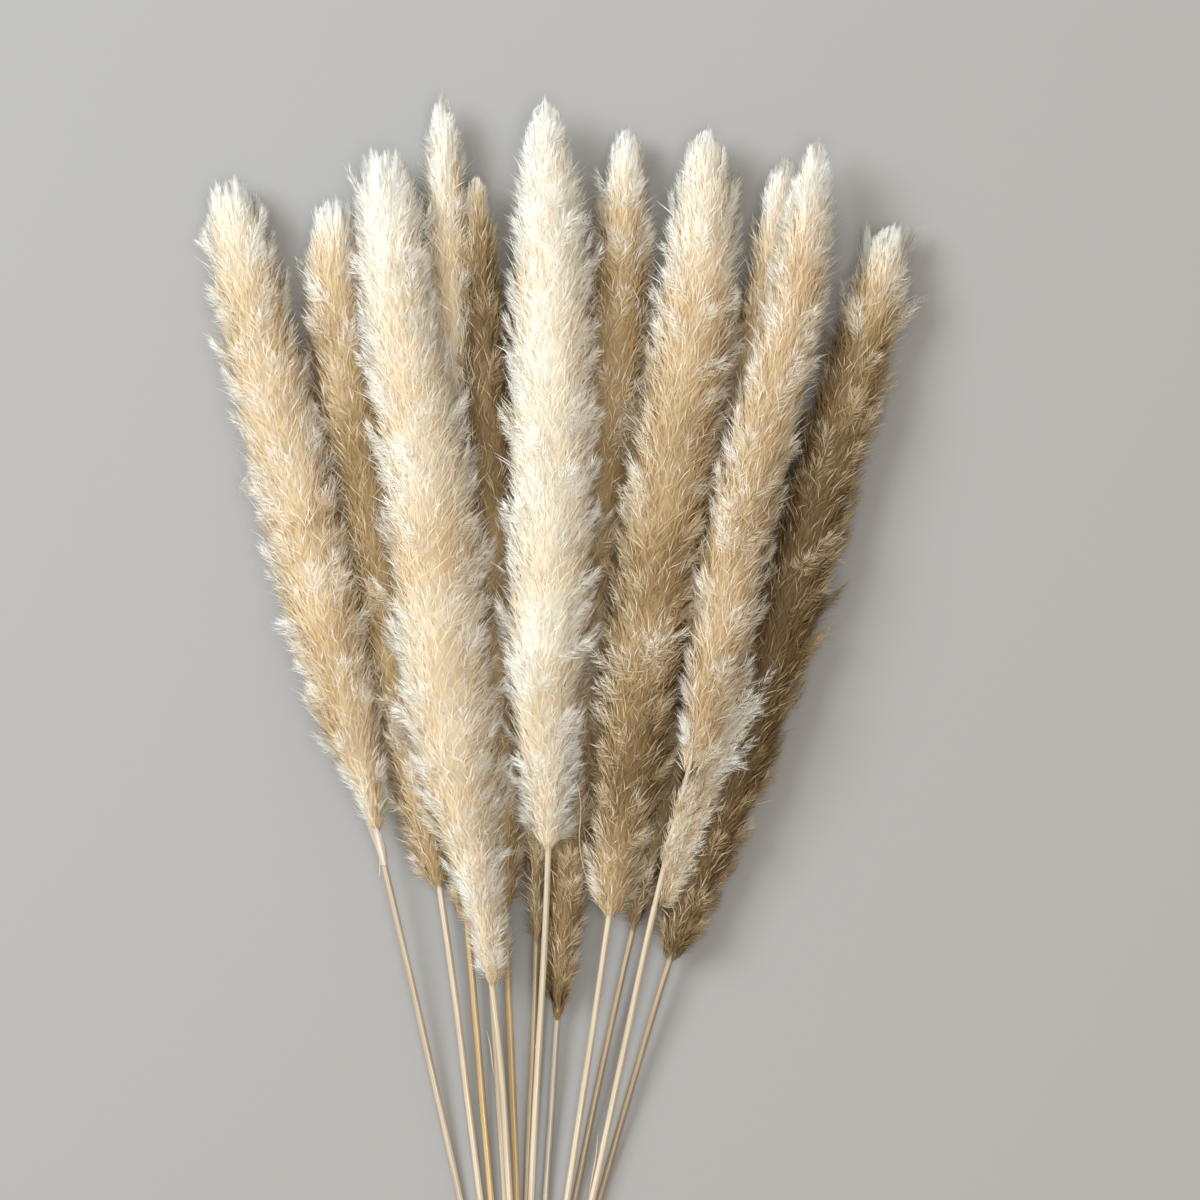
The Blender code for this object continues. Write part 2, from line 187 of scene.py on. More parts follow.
class Axis:
    """A curve with the directions across it, which are read by a share of its length."""

    def __init__(self, curve):
        steps = np.linalg.norm(np.diff(curve, axis=0), axis=1)
        self.length = float(steps.sum())
        self.shares = np.concatenate(([0.0], np.cumsum(steps))) / self.length
        self.points = curve
        self.tangents = unit(np.gradient(curve, axis=0))
        self.sides = unit(np.cross(self.tangents, (0.0, 0.0, 1.0)))
        self.ups = np.cross(self.sides, self.tangents)

    def read(self, table, share):
        """What a table with a row for each of the curve's points holds at a share."""
        return np.stack([np.interp(share, self.shares, table[:, axis]) for axis in range(3)], axis=-1)

    def centre(self, share):
        """A place on the curve, or straight on from its ends."""
        beyond = (share - np.clip(share, 0.0, 1.0))[..., None] * self.length
        return self.read(self.points, share) + self.tangent(share) * beyond

    def tangent(self, share):
        """The unit direction along the curve."""
        return unit(self.read(self.tangents, share))

    def across(self, share):
        """The level and the upward direction across the curve."""
        return self.read(self.sides, share), self.read(self.ups, share)

    def outward(self, share, angle):
        """A unit direction across the curve: level at angle 0, upward at a quarter turn."""
        side, up = self.across(share)
        return unit(turned(side, up, angle))


# A hair is a slim kite, widest at this share of its length. It faces partly to the sky, and its normals
# lean this far to its plume's surface, which makes the light on it soft.
HAIR_WIDEST = 0.42
SKYWARD = 0.4
SOFTNESS = 0.88


class Hairs:
    """Hairs, each a bent kite of two triangles, gathered in arrays until they become one mesh."""

    def __init__(self):
        self.parts = []

    def add(self, roots, lines, bows, outs, widths, tones, low, high):
        """Hairs from roots along lines, with their middles moved by bows, facing outs.

        Low and high are how far up the colour map a hair's root and tip are.
        """
        count = len(roots)
        ends = [np.broadcast_to(np.asarray(end, float), (count,)) for end in (low, high)]
        self.parts.append((roots, lines, bows, outs, widths, tones, *ends))

    def arrays(self, rng):
        """Corners, loops, face sizes, each loop's place on the colour map, and corner normals."""
        roots, lines, bows, outs, widths, tones, low, high = map(np.concatenate, zip(*self.parts))
        count = len(roots)
        outs = unit(outs + np.array([0.0, 0.0, SKYWARD]))
        across = unit(np.cross(lines, rng.normal(size=(count, 3))))
        facing = unit(np.cross(across, lines))
        turn = np.where(np.sum(facing * outs, axis=1, keepdims=True) < 0.0, -1.0, 1.0)
        across = across * turn * widths[:, None] * 0.5
        facing = facing * turn
        middles = roots + lines * HAIR_WIDEST + bows
        corners = np.stack((roots, middles + across, middles - across, roots + lines), axis=1)
        corners[:, :, 2] = np.maximum(corners[:, :, 2], FLOOR_CLEAR)
        tones = np.clip(tones, 0.01, 0.99)
        heights = np.stack((low, 0.5 * (low + high), 0.5 * (low + high), high), axis=1)
        places = np.stack((np.broadcast_to(tones[:, None], (count, 4)), heights), axis=-1)
        order = np.array([0, 1, 2, 2, 1, 3])
        loops = 4 * np.arange(count)[:, None] + order
        normals = np.repeat(unit(outs * SOFTNESS + facing * (1.0 - SOFTNESS)), 4, axis=0)
        return (corners.reshape(-1, 3), loops.ravel(), np.full(2 * count, 3),
                places[:, order].reshape(-1, 2), normals)


# Sides that are slimmer or fuller than the plain outline: the stalk, the side (-1 is left), shares, and
# the width at each as a part of the plain one
UNEVEN_SIDES = (
    ("12", -1, (0.15, 0.39), (0.15, 1.0)),
    ("07", -1, (0.11, 0.22), (0.15, 1.0)),
    ("07", 1, (0.08, 0.22), (0.30, 1.0)),
    ("09", -1, (0.00, 0.28), (0.45, 1.0)),
    ("09", 1, (0.02, 0.34), (0.40, 1.0)),
    ("11", -1, (0.11, 0.30), (0.35, 1.0)),
    ("11", 1, (0.11, 0.30), (0.35, 1.0)),
    ("01", -1, (0.00, 0.05, 0.12, 0.17), (0.20, 0.30, 0.75, 1.0)),
    ("01", 1, (0.02, 0.17), (0.66, 1.0)),
    ("03", -1, (0.00, 0.10, 0.16, 0.24), (0.42, 0.45, 0.80, 1.0)),
    ("03", 1, (0.10, 0.22, 0.36, 0.60, 0.70, 0.80), (1.0, 1.35, 1.55, 1.50, 1.35, 1.0)),
)

# The soft patches of tone and the swells that bunch the feathers are sums of sines: how many, how
# strong, how close together, and what the sum is divided by.
RIPPLE_COUNT = 8
RIPPLE_TONE = 0.02
SWELL_COUNT = 9
SWELL_PITCH = 0.95
SWELL_SUM = 2.4


class Plume:
    """One plume: its axis, from its base to its tip, its outline, its tones and its hairs."""

    def __init__(self, stalk, rng):
        self.stalk = stalk
        self.rng = rng
        self.hairs = Hairs()
        whole = catmull_rom([*stalk.axis, stalk.low], AXIS_STEPS)
        self.axis = Axis(whole[:AXIS_STEPS * (len(stalk.axis) - 1) + 1][::-1])
        self.length = self.axis.length
        self.end_width = float(self.open_width(1.0))
        self.dome_from = 1.0 - DOME_LENGTH * self.end_width / self.length
        self.ripples = rng.uniform(0.0, 2.0 * math.pi, RIPPLE_COUNT)
        self.swells = [(rng.uniform(-1.0, 1.0), rng.integers(-11, 12), rng.uniform(0.0, 6.3))
                       for _ in range(SWELL_COUNT)]

    def open_width(self, share):
        """The half width, before the tip is rounded off."""
        blunt = self.stalk.blunt
        from_tip = (1.0 - share) * self.length
        tip_part = blunt + (1.0 - blunt) * (1.0 - np.exp(-np.maximum(from_tip, 0.0) / TIP_TAPER))
        base_part = BASE_WIDTH + (1.0 - BASE_WIDTH) * (np.maximum(share, 0.0) / FULL_WIDTH_FROM) ** SWELL
        return self.stalk.full * tip_part * np.minimum(1.0, base_part)

    def width(self, share):
        """The half width, rounded off over the tip."""
        into_dome = np.clip((share - self.dome_from) / (1.0 - self.dome_from), 0.0, 1.0)
        dome = np.sqrt(1.0 - into_dome**DOME_POWER * DOME_DEPTH)
        return self.open_width(np.clip(share, 0.0, 1.0)) * dome

    def place(self, share, angle, reach):
        """A place in the plume: reach is 0 on its axis and 1 at its half width."""
        wide = 1.0 + (self.stalk.flat - 1.0) * np.clip((ROUND_BY - share) / ROUND_OVER, 0.0, 1.0)
        for name, side, shares, widths in UNEVEN_SIDES:
            if name == self.stalk.name:
                uneven = wide * np.interp(share, shares, widths)
                wide = np.where(np.cos(angle) * side > 0.0, uneven, wide)
        side, up = self.axis.across(share)
        out = side * (np.cos(angle) * wide)[..., None] + up * np.sin(angle)[..., None]
        return self.axis.centre(share) + out * (self.width(share) * reach)[..., None]

    def clump(self, share, angle):
        """Where the feathers bunch up, about 1, and where they part, about -1."""
        total = np.zeros_like(share)
        for along, around, start in self.swells:
            total += np.sin(along * share * self.length * SWELL_PITCH + around * angle + start)
        return total / SWELL_SUM

    def tone(self, share, angle):
        """The base tone: by the share of the way up, with soft patches."""
        base = np.interp(share, TONE_SHARES, self.stalk.tones)
        patches = np.zeros_like(base)
        for index, ripple in enumerate(self.ripples):
            patches += np.sin(share * (7.0 + 5.0 * index) + angle * (index % 3) + ripple)
        return base + RIPPLE_TONE * patches


# A feather is a small branch of the plume with fine hairs along both sides: how many, the branch's
# length, and how long and wide the hairs are
FEATHER_HAIRS = 50
FEATHER_LENGTH = 12.0
HAIR_LENGTH = 6.2
HAIR_WIDTH = 0.165

# How far hairs spread at a feather's root, and how much less, shorter and paler they are at its tip. The
# paling is partly the hairs' own paler tips and partly painted shade deep in the feather.
SPREAD_AT_ROOT = 0.92
SPREAD_LOSS = 0.46
TIP_SHORTENING = 0.35
TIP_PALING_AND_SHADE = 0.24


def add_feathers(plume, roots, controls, tips, outs, tones, size, loose=0.0, each=FEATHER_HAIRS):
    """Hairs along both sides of curves from roots to tips, that spread less towards the tips."""
    rng = plume.rng
    count = len(roots)
    size = np.broadcast_to(np.asarray(size, float), (count,))[:, None]
    t = 1.0 - 0.94 * rng.uniform(0.0, 1.0, (count, each)) ** 1.35
    side = np.where(np.arange(each) % 2 == 0, 1.0, -1.0) * np.ones((count, 1))
    u = t[..., None]
    place = (1 - u) ** 2 * roots[:, None] + 2 * u * (1 - u) * controls[:, None] + u**2 * tips[:, None]
    heading = unit((1 - u) * (controls - roots)[:, None] + u * (tips - controls)[:, None])
    out = unit(outs[:, None] - heading * np.sum(outs[:, None] * heading, axis=-1, keepdims=True))
    across = np.cross(heading, out) * side[..., None]
    splay = np.abs(rng.normal(SPREAD_AT_ROOT - SPREAD_LOSS * t, 0.09 + 0.16 * loose, (count, each)))
    splay = splay * np.minimum(1.0, size)
    lift = rng.uniform(-0.1, 0.7, (count, 1)) + rng.normal(0.0, 0.25, (count, each)) + 0.3 * loose
    sideways = turned(across, out, lift)
    direction = turned(heading, sideways, splay)
    length = size * HAIR_LENGTH * rng.uniform(0.65, 1.25, (count, each)) * (1.0 - TIP_SHORTENING * t)
    bow = sideways * rng.normal(0.075, 0.045, (count, each))[..., None] * length[..., None]
    bow = bow + rng.normal(0.0, 0.02, (count, each, 3)) * length[..., None]
    width = HAIR_WIDTH * rng.uniform(0.65, 1.15, (count, each))
    # Hairs lower on a feather are darker: partly their own colour, partly painted shade deeper in the
    # plume.
    tone = tones[:, None] - TIP_PALING_AND_SHADE * (t - 0.62) + rng.normal(0.0, 0.045, (count, each))
    facing = unit(outs + rng.normal(0.0, 0.32, (count, 3)))[:, None] * np.ones((1, each, 1))
    line = direction * length[..., None]
    vectors = [values.reshape(-1, 3) for values in (place, line, bow, facing)]
    numbers = [values.ravel() for values in (width, tone, 0.15 + 0.25 * t, 0.8 + 0.2 * t)]
    plume.hairs.add(*vectors, *numbers)


# The sine of its angle below which a hair is underneath, and what part of those moves up
UNDERNEATH = -0.45
MOVED_UP = 0.55


def spread(rng, count):
    """Angles round the plume, fewer underneath where nobody sees them."""
    angle = np.arange(count) * GOLDEN_ANGLE + rng.normal(0.0, 0.2, count)
    under = np.sin(angle) < UNDERNEATH
    moved = under & (rng.uniform(0.0, 1.0, count) < MOVED_UP)
    return np.where(moved, rng.uniform(-0.3, math.pi + 0.3, count), angle)


# How many feathers a cluster has, how far out they end, as a part of the half width, how much further where
# they bunch up, and how much paler the outer and the upper ones are: painted light on the feathers that
# stand out and on top, and painted shade on those that part or hang underneath
CLUSTER = 3
OUTER_REACH = 0.84
CLUMP_REACH = 0.09
PAINTED_LIGHT_BEYOND = 0.82
PAINTED_LIGHT_OUTSIDE = 0.5
PAINTED_LIGHT_ON_TOP = 0.05

# How much of a feather's length goes up the plume, and over what length to the tip hairs get smaller
FEATHER_RISE = 0.93
SMALL_OVER = 26.0


def add_coat(plume, count):
    """The feathers all over the plume: they grow in small clusters, each outward, then up."""
    rng = plume.rng
    ruffle = plume.stalk.ruffle
    clusters = count // CLUSTER
    count = clusters * CLUSTER

    def each(values, jitter):
        return np.repeat(values, CLUSTER) + rng.normal(0.0, jitter, count)

    share = (np.arange(clusters) + rng.uniform(0.0, 1.0, clusters)) / clusters
    angle = spread(rng, clusters)
    grown = np.minimum(1.0, 0.6 + 2.2 * share)
    loose = np.clip(1.5 - share, 0.6, 1.25)
    ruffled = rng.uniform(0.0, 1.0, clusters) < (0.12 + 0.45 * ruffle) * loose
    length = FEATHER_LENGTH * rng.uniform(0.85, 1.3, clusters) * grown * np.where(ruffled, 0.7, 1.0)
    outer = rng.normal(OUTER_REACH, 0.06, clusters) + ruffled * rng.uniform(0.02, 0.20, clusters) * loose
    outer = outer + CLUMP_REACH * plume.clump(share, angle)
    parting = -np.sign(np.cos(angle)) * np.where(np.sin(angle) > 0.0, 1.0, 0.3)
    sway = parting * rng.uniform(0.05, 0.85, clusters) + rng.normal(0.0, 0.12 + 0.16 * ruffle, clusters)
    inner = rng.uniform(0.38, 0.50, clusters) + 0.12 * ruffled
    # Painted light and shade: feathers that reach further out, and those on top, are paler; those in
    # partings and underneath are darker.
    tones = rng.normal(0.0, 0.07, clusters) - PAINTED_LIGHT_OUTSIDE * (outer - PAINTED_LIGHT_BEYOND)
    tones = tones - PAINTED_LIGHT_ON_TOP * np.sin(angle)

    reach = FEATHER_RISE * each(length, 0.8) / plume.length
    share = each(share, 1.1 / plume.length)
    tip_share = np.minimum(share + reach, 1.0 - 0.02 * rng.uniform(0.0, 1.0, count) ** 2)
    share = tip_share - reach * rng.uniform(0.85, 1.0, count)
    angle = each(angle, 0.07)
    sway = each(sway, 0.12)
    outer = each(outer, 0.035)
    inner = each(inner, 0.02)
    roots = plume.place(share, angle, inner)
    tips = plume.place(tip_share, angle + sway, outer)
    controls = plume.place(share + 0.45 * (tip_share - share), angle + 0.3 * sway,
                           inner + 0.72 * (outer - inner))
    outs = plume.axis.outward(tip_share, angle + sway)
    tones = plume.tone(tip_share, angle) + each(tones, 0.03)
    size = np.clip(0.5 + (1.0 - tip_share) * plume.length / SMALL_OVER, 0.5, 1.0)
    keep = bare_places(plume, share, angle)
    kept = [values[keep] for values in (roots, controls, tips, outs, tones, size)]
    add_feathers(plume, *kept, loose=0.5 * ruffle)


# The stalk whose plume is bare low down on its upper left, the middle of that side, and how far up
BARE_STALK = "12"
BARE_MIDDLE = 0.7 * math.pi
BARE_UP_TO = 0.18


def bare_places(plume, share, angle):
    """Which hairs stay: all but those on the bare side of the one stalk that has it."""
    if plume.stalk.name != BARE_STALK:
        return np.full(len(share), True)
    left = np.cos(angle - BARE_MIDDLE) > -0.2
    return ~(left & (share < BARE_UP_TO))


# The under-coat's hairs: their length and width, where they end, and how much darker they are, as painted
# shade under the feathers
UNDER_LENGTH = 8.0
UNDER_WIDTH = 0.40
UNDER_TO = 0.985
UNDER_PAINTED_SHADE = 0.15


def add_under_coat(plume, count):
    """Wider hairs, darker with painted shade, that lie close on the core and hide it."""
    rng = plume.rng
    angle = spread(rng, count)
    share = -0.004 + UNDER_TO * (np.arange(count) + rng.uniform(0.0, 1.0, count)) / count
    length = UNDER_LENGTH * rng.uniform(0.6, 1.2, count) / plume.length
    tip_share = np.minimum(share + length, UNDER_TO)
    share = tip_share - length
    keep = bare_places(plume, share, angle)
    angle, share, tip_share = (values[keep] for values in (angle, share, tip_share))
    count = len(share)
    roots = plume.place(share, angle, rng.uniform(0.50, 0.64, count))
    tips = plume.place(tip_share, angle + rng.normal(0.0, 0.3, count), rng.uniform(0.66, 0.94, count))
    tones = plume.tone(tip_share, angle) + UNDER_PAINTED_SHADE + rng.normal(0.0, 0.04, count)
    bows = rng.normal(0.0, 0.35, (count, 3))
    widths = UNDER_WIDTH * rng.uniform(0.7, 1.2, count)
    facing = plume.axis.outward(tip_share, angle)
    plume.hairs.add(roots, tips - roots, bows, facing, widths, tones, 0.1, 0.6)


# Crowns that end in separate tufts: each tuft's angle in degrees, its distance from the axis as a part
# of the half width, and how far it rises
FORKS = {"13": ((180.0, 1.20, 1.5), (140.0, 0.50, 2.0), (90.0, 0.15, 3.0), (50.0, 0.45, 3.5),
                (0.0, 0.80, 4.0), (-10.0, 1.25, 3.5))}

# Crown tufts: how many, how far they rise, how long they are, and how much lower the outer ones of a
# pointed tip stand
CROWN_TUFTS = 11
TUFT_RISE = 3.2
TUFT_LENGTH = 10.0
SPIRE_FALL = 7.0


def add_crown(plume, count):
    """Tufts that end the plume: level with each other on a blunt tip, a spire on a pointed one."""
    rng = plume.rng
    ring = np.sqrt(np.arange(CROWN_TUFTS) / CROWN_TUFTS)
    turn = np.arange(CROWN_TUFTS) * GOLDEN_ANGLE + rng.uniform(0.0, 2.0 * math.pi)
    pointed = np.clip(1.25 - 1.8 * plume.stalk.blunt, 0.0, 1.0)
    rise = TUFT_RISE - SPIRE_FALL * pointed * ring + rng.normal(0.0, 1.1, CROWN_TUFTS)
    if plume.stalk.name in FORKS:
        forks = np.array(FORKS[plume.stalk.name])
        fork = forks[np.arange(CROWN_TUFTS) % len(forks)]
        turn = np.radians(fork[:, 0]) + rng.normal(0.0, 0.12, CROWN_TUFTS)
        ring = fork[:, 1] + rng.normal(0.0, 0.08, CROWN_TUFTS)
        rise = fork[:, 2] + rng.normal(0.0, 0.5, CROWN_TUFTS)
    last = np.ones(CROWN_TUFTS)
    outward = plume.axis.outward(last, turn)
    upward = plume.axis.tangent(last)
    offset = outward * (ring * plume.end_width)[:, None]
    ends = plume.axis.centre(last) + 1.05 * offset + upward * rise[:, None]
    tuft = rng.integers(0, CROWN_TUFTS, count)
    back = np.abs(rng.normal(0.0, 3.2, count))
    apart = rng.normal(0.0, 1.0, (count, 3)) * (0.15 + 0.20 * back)[:, None]
    tips = ends[tuft] - upward[tuft] * back[:, None] + apart
    root_share = 1.0 - (TUFT_LENGTH * rng.uniform(0.8, 1.2, count) + back - rise[tuft]) / plume.length
    roots = plume.axis.centre(root_share) + 0.7 * offset[tuft] + 0.5 * apart
    tones = plume.tone(np.ones(count), turn[tuft]) - 0.02 + rng.normal(0.0, 0.05, count)
    bows = 0.16 * apart + rng.normal(0.0, 0.12, (count, 3))
    widths = HAIR_WIDTH * rng.uniform(0.6, 1.0, count)
    facing = unit(outward[tuft] + 0.5 * upward[tuft])
    plume.hairs.add(roots, tips - roots, bows, facing, widths, tones, 0.4, 1.0)


# Wisps: their length and width, and how much paler they are than the plume, less on a dark one
WISP_LENGTH = 8.0
WISP_WIDTH = 0.28
WISP_PALER = 0.22


def add_wisps(plume, count):
    """Long fine pale hairs that stand out from all over the plume."""
    rng = plume.rng
    share = rng.uniform(0.02, 0.97, count)
    angle = rng.uniform(-0.4, math.pi + 0.4, count)
    keep = bare_places(plume, share, angle)
    share = share[keep]
    angle = angle[keep]
    count = len(share)
    near_tip = np.clip((1.0 - share) * plume.length / SMALL_OVER, 0.35, 1.0)
    lean = rng.uniform(0.35, 1.05, count) * near_tip
    turn = rng.normal(0.0, 0.8, count)
    outward = plume.axis.outward(share, angle)
    along = plume.axis.tangent(share)
    around = np.cross(along, outward)
    aside = turned(outward, around, turn)
    direction = turned(along, aside, lean)
    length = WISP_LENGTH * rng.uniform(0.55, 1.2, count) * near_tip
    roots = plume.place(share, angle, rng.uniform(0.60, 0.86, count))
    bows = -aside * (rng.normal(0.06, 0.04, count) * length)[:, None]
    tones = plume.tone(share, angle)
    tones = tones - WISP_PALER * (1.3 - 0.9 * tones) + rng.normal(0.0, 0.08, count)
    widths = WISP_WIDTH * rng.uniform(0.7, 1.2, count)
    plume.hairs.add(roots, direction * length[:, None], bows, outward, widths, tones, 0.5, 1.0)


def add_strays(plume, count):
    """Tufts of a few feathers that have sprung out of the plume."""
    rng = plume.rng
    for share, *place in plume.stalk.strays:
        start = plume.axis.centre(np.array(share))
        line = np.array(place, float) - start
        tips = start + line * rng.uniform(0.72, 1.0, (count, 1)) + rng.normal(0.0, 0.9, (count, 3))
        roots = start + line * rng.uniform(0.1, 0.35, (count, 1)) + rng.normal(0.0, 1.6, (count, 3))
        controls = 0.5 * (roots + tips) + rng.normal(0.0, 0.8, (count, 3))
        outs = np.repeat(unit(line + np.array([0.0, 0.0, 12.0]))[None], count, axis=0)
        tones = np.full(count, plume.stalk.tones[-1] + 0.06) + rng.normal(0.0, 0.05, count)
        add_feathers(plume, roots, controls, tips, outs, tones, size=0.75, each=60)


# The low spray beside the bare stem: its feathers and those that lie over the stem, the hairs of each,
# how far up it goes, how far it leans out, its length at its base and how that grows with the share
SPRAY_FEATHERS = 130
COVER_FEATHERS = 42
SPRAY_HAIRS = 48
SPRAY_UP_TO = 0.25
SPRAY_LEAN = 0.62
SPRAY_LENGTH = 10.0
SPRAY_GROWTH = 66.0


def add_low_spray(plume):
    """The loose spray that fans out on the right of the bare stem, longer higher up."""
    rng = plume.rng
    count = SPRAY_FEATHERS
    share = SPRAY_UP_TO * (np.arange(count) + rng.uniform(0.0, 1.0, count)) / count
    along = plume.axis.tangent(share)
    right, up = plume.axis.across(share)
    length = (SPRAY_LENGTH + SPRAY_GROWTH * share) * rng.uniform(0.35, 1.0, count) ** 0.6
    lean = SPRAY_LEAN + rng.normal(0.0, 0.12, count)
    lines = turned(along, right, lean)
    roots = plume.axis.centre(share) + right * 0.8 + up * rng.uniform(-0.5, 1.0, (count, 1))
    tips = roots + lines * length[:, None] + up * rng.normal(0.5, 1.3, (count, 1))
    controls = roots + (0.4 * lines + 0.14 * right) * length[:, None] + up * 1.2
    outs = unit(up + 0.3 * right)
    tones = rng.normal(0.50, 0.10, count) - 0.008 * length
    add_feathers(plume, roots, controls, tips, outs, tones, size=0.9, each=SPRAY_HAIRS)


def add_spray_cover(plume):
    """Feathers of the low spray that lie over the bare stem and hide a part of it."""
    rng = plume.rng
    count = COVER_FEATHERS
    share = rng.uniform(0.03, 0.125, count)
    along = plume.axis.tangent(share)
    right, up = plume.axis.across(share)
    length = rng.uniform(8.0, 14.0, count)[:, None]
    lines = turned(along, right, rng.normal(0.20, 0.16, count))
    roots = plume.axis.centre(share) + right * rng.uniform(-0.9, 0.7, (count, 1))
    roots = roots + up * rng.uniform(0.7, 1.3, (count, 1))
    tips = roots + lines * length + up * rng.normal(0.8, 0.5, (count, 1))
    controls = roots + 0.5 * lines * length + up
    tones = rng.normal(0.40, 0.10, count)
    outs = unit(up + 0.2 * right)
    add_feathers(plume, roots, controls, tips, outs, tones, size=0.75, each=SPRAY_HAIRS)


def add_husks(plume, count):
    """Small tan husks that show here and there."""
    rng = plume.rng
    share = rng.uniform(0.03, 0.93, count)
    angle = rng.uniform(0.0, 2.0 * math.pi, count)
    roots = plume.place(share, angle, rng.uniform(0.66, 0.86, count))
    outward = plume.axis.outward(share, angle)
    lines = plume.axis.tangent(share) + 0.5 * outward + rng.normal(0.0, 0.25, (count, 3))
    lines = unit(lines) * rng.uniform(1.0, 2.2, count)[:, None]
    widths = rng.uniform(0.30, 0.55, count)
    tones = rng.uniform(0.72, 0.95, count)
    plume.hairs.add(roots, lines, np.zeros((count, 3)), outward, widths, tones, 0.5, 1.0)


def ring_faces(rings, sides):
    """The corners' numbers, ring by ring, and the loops of the faces between the rings."""
    index = np.arange(rings * sides).reshape(rings, sides)
    beside = np.roll(index, -1, axis=1)
    return index, np.stack((index[:-1], index[1:], beside[1:], beside[:-1]), axis=-1).reshape(-1)


# The core: its mesh, how far out it goes, how deep its bumps are, and how much darker it is, as painted
# shade under the hairs
CORE_SIDES = 20
CORE_RINGS = 60
CORE_REACH = 0.57
CORE_BUMPS = 0.028
CORE_PAINTED_SHADE = 0.08


def core_arrays(plume):
    """The slim core that the hairs grow from, darkened with painted shade, as corners, loops, face sizes,
    colour places, normals.
    """
    share = np.linspace(0.2 if plume.stalk.name == BARE_STALK else 0.01, 0.962, CORE_RINGS)
    angle = np.linspace(0.0, 2.0 * math.pi, CORE_SIDES, endpoint=False)
    share_grid, angle_grid = np.meshgrid(share, angle, indexing="ij")
    bumps = np.zeros_like(share_grid)
    for index, ripple in enumerate(plume.ripples):
        bumps += np.sin(share_grid * (60.0 + 23.0 * index) + angle_grid * (2 + index) + 3.0 * ripple)
    reach = CORE_REACH * (1.0 + CORE_BUMPS * bumps)
    corners = plume.place(share_grid, angle_grid, reach)
    corners[..., 2] = np.maximum(corners[..., 2], 2.0 * FLOOR_CLEAR)
    normals = plume.axis.outward(share_grid, angle_grid)
    tones = np.clip(plume.tone(share_grid, angle_grid) + CORE_PAINTED_SHADE, 0.0, 1.0).ravel()
    index, faces = ring_faces(CORE_RINGS, CORE_SIDES)
    loops = np.concatenate((faces, index[0], index[-1][::-1]))
    sizes = [4] * ((CORE_RINGS - 1) * CORE_SIDES) + [CORE_SIDES, CORE_SIDES]
    places = np.stack((tones, np.full(len(tones), 0.1)), axis=-1)[loops]
    return corners.reshape(-1, 3), loops, np.array(sizes), places, normals.reshape(-1, 3)


def add_object(name, data):
    """An object that shows the data, in the scene."""
    made = bpy.data.objects.new(name, data)
    bpy.context.scene.collection.objects.link(made)
    return made


def mesh_object(name, groups, materials):
    """One object from groups of arrays, each with the slot of its material."""
    columns = []
    base = 0
    for slot, (corners, loops, sizes, places, normals) in groups:
        columns.append((corners, loops + base, sizes, places, normals, np.full(len(sizes), slot)))
        base += len(corners)
    corners, loops, sizes, places, normals, slots = map(np.concatenate, zip(*columns))
    mesh = bpy.data.meshes.new(name)
    mesh.vertices.add(len(corners))
    mesh.vertices.foreach_set("co", (corners * MM).astype(np.float32).ravel())
    mesh.loops.add(len(loops))
    mesh.loops.foreach_set("vertex_index", loops.astype(np.int32))
    mesh.polygons.add(len(sizes))
    starts = np.concatenate(([0], np.cumsum(sizes)[:-1]))
    mesh.polygons.foreach_set("loop_start", starts.astype(np.int32))
    mesh.polygons.foreach_set("material_index", slots.astype(np.int32))
    layer = mesh.uv_layers.new(name=UV_NAME)
    layer.data.foreach_set("uv", places.astype(np.float32).ravel())
    mesh.update(calc_edges=True)
    mesh.validate()
    mesh.shade_smooth()
    mesh.normals_split_custom_set_from_vertices(normals.astype(np.float32))
    for material in materials:
        mesh.materials.append(material)
    return add_object(name, mesh)


RACHIS_SIDES = 8
RACHIS_RADIUS = 0.95


def rachis_arrays(plume):
    """The bare stalk inside the plume, which shows where the hairs are thin."""
    share = np.linspace(-0.005, 0.9, ROD_RINGS)
    return rod_arrays(plume.axis, share, RACHIS_RADIUS * (1.0 - 0.6 * share), RACHIS_SIDES)


# The loose thread: the stalk beside which it hangs, its route, its steps and its radius
STRAND_STALK = "10"
STRAND = ((3.8, 7.7, 25.0), (5.6, 4.8, 26.0), (6.4, -3.2, 26.0), (6.0, -13.8, 24.0),
          (8.6, -25.6, 19.0), (13.8, -35.8, 13.0))
STRAND_STEPS = 8
STRAND_RADIUS = 0.2


def strand_arrays():
    """A thin thread that has come loose and curves down beside a plume."""
    curve = Axis(catmull_rom(STRAND, STRAND_STEPS))
    share = np.linspace(0.0, 1.0, ROD_RINGS)
    return rod_arrays(curve, share, STRAND_RADIUS * (0.45 + 0.55 * share), SLIVER_SIDES)


# One hair in this many is in the crown or the under-coat, and there is one wisp to this many hairs.
CROWN_ONE_IN = 30
UNDER_ONE_IN = 4
WISP_ONE_IN = 28


def make_plume(stalk, materials):
    """All the hairs of a plume with its core and its middle stalk, in one piece."""
    plume = Plume(stalk, np.random.default_rng(SEED + int(stalk.name)))
    total = stalk.thousands * 1000
    crown = total // CROWN_ONE_IN
    under = total // UNDER_ONE_IN
    add_under_coat(plume, under)
    add_coat(plume, (total - under - crown) // FEATHER_HAIRS)
    add_crown(plume, crown)
    add_wisps(plume, total // WISP_ONE_IN)
    add_strays(plume, 5)
    if stalk.name == BARE_STALK:
        add_low_spray(plume)
        add_spray_cover(plume)
    add_husks(plume, 70)
    groups = [(0, plume.hairs.arrays(plume.rng)), (0, core_arrays(plume)), (1, rachis_arrays(plume))]
    if stalk.name == STRAND_STALK:
        groups.append((1, strand_arrays()))
    piece = mesh_object("hairs_" + stalk.name, groups, [materials["hair"], materials[stalk.straw]])
    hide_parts("plume_" + stalk.name)
    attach(piece, "root")


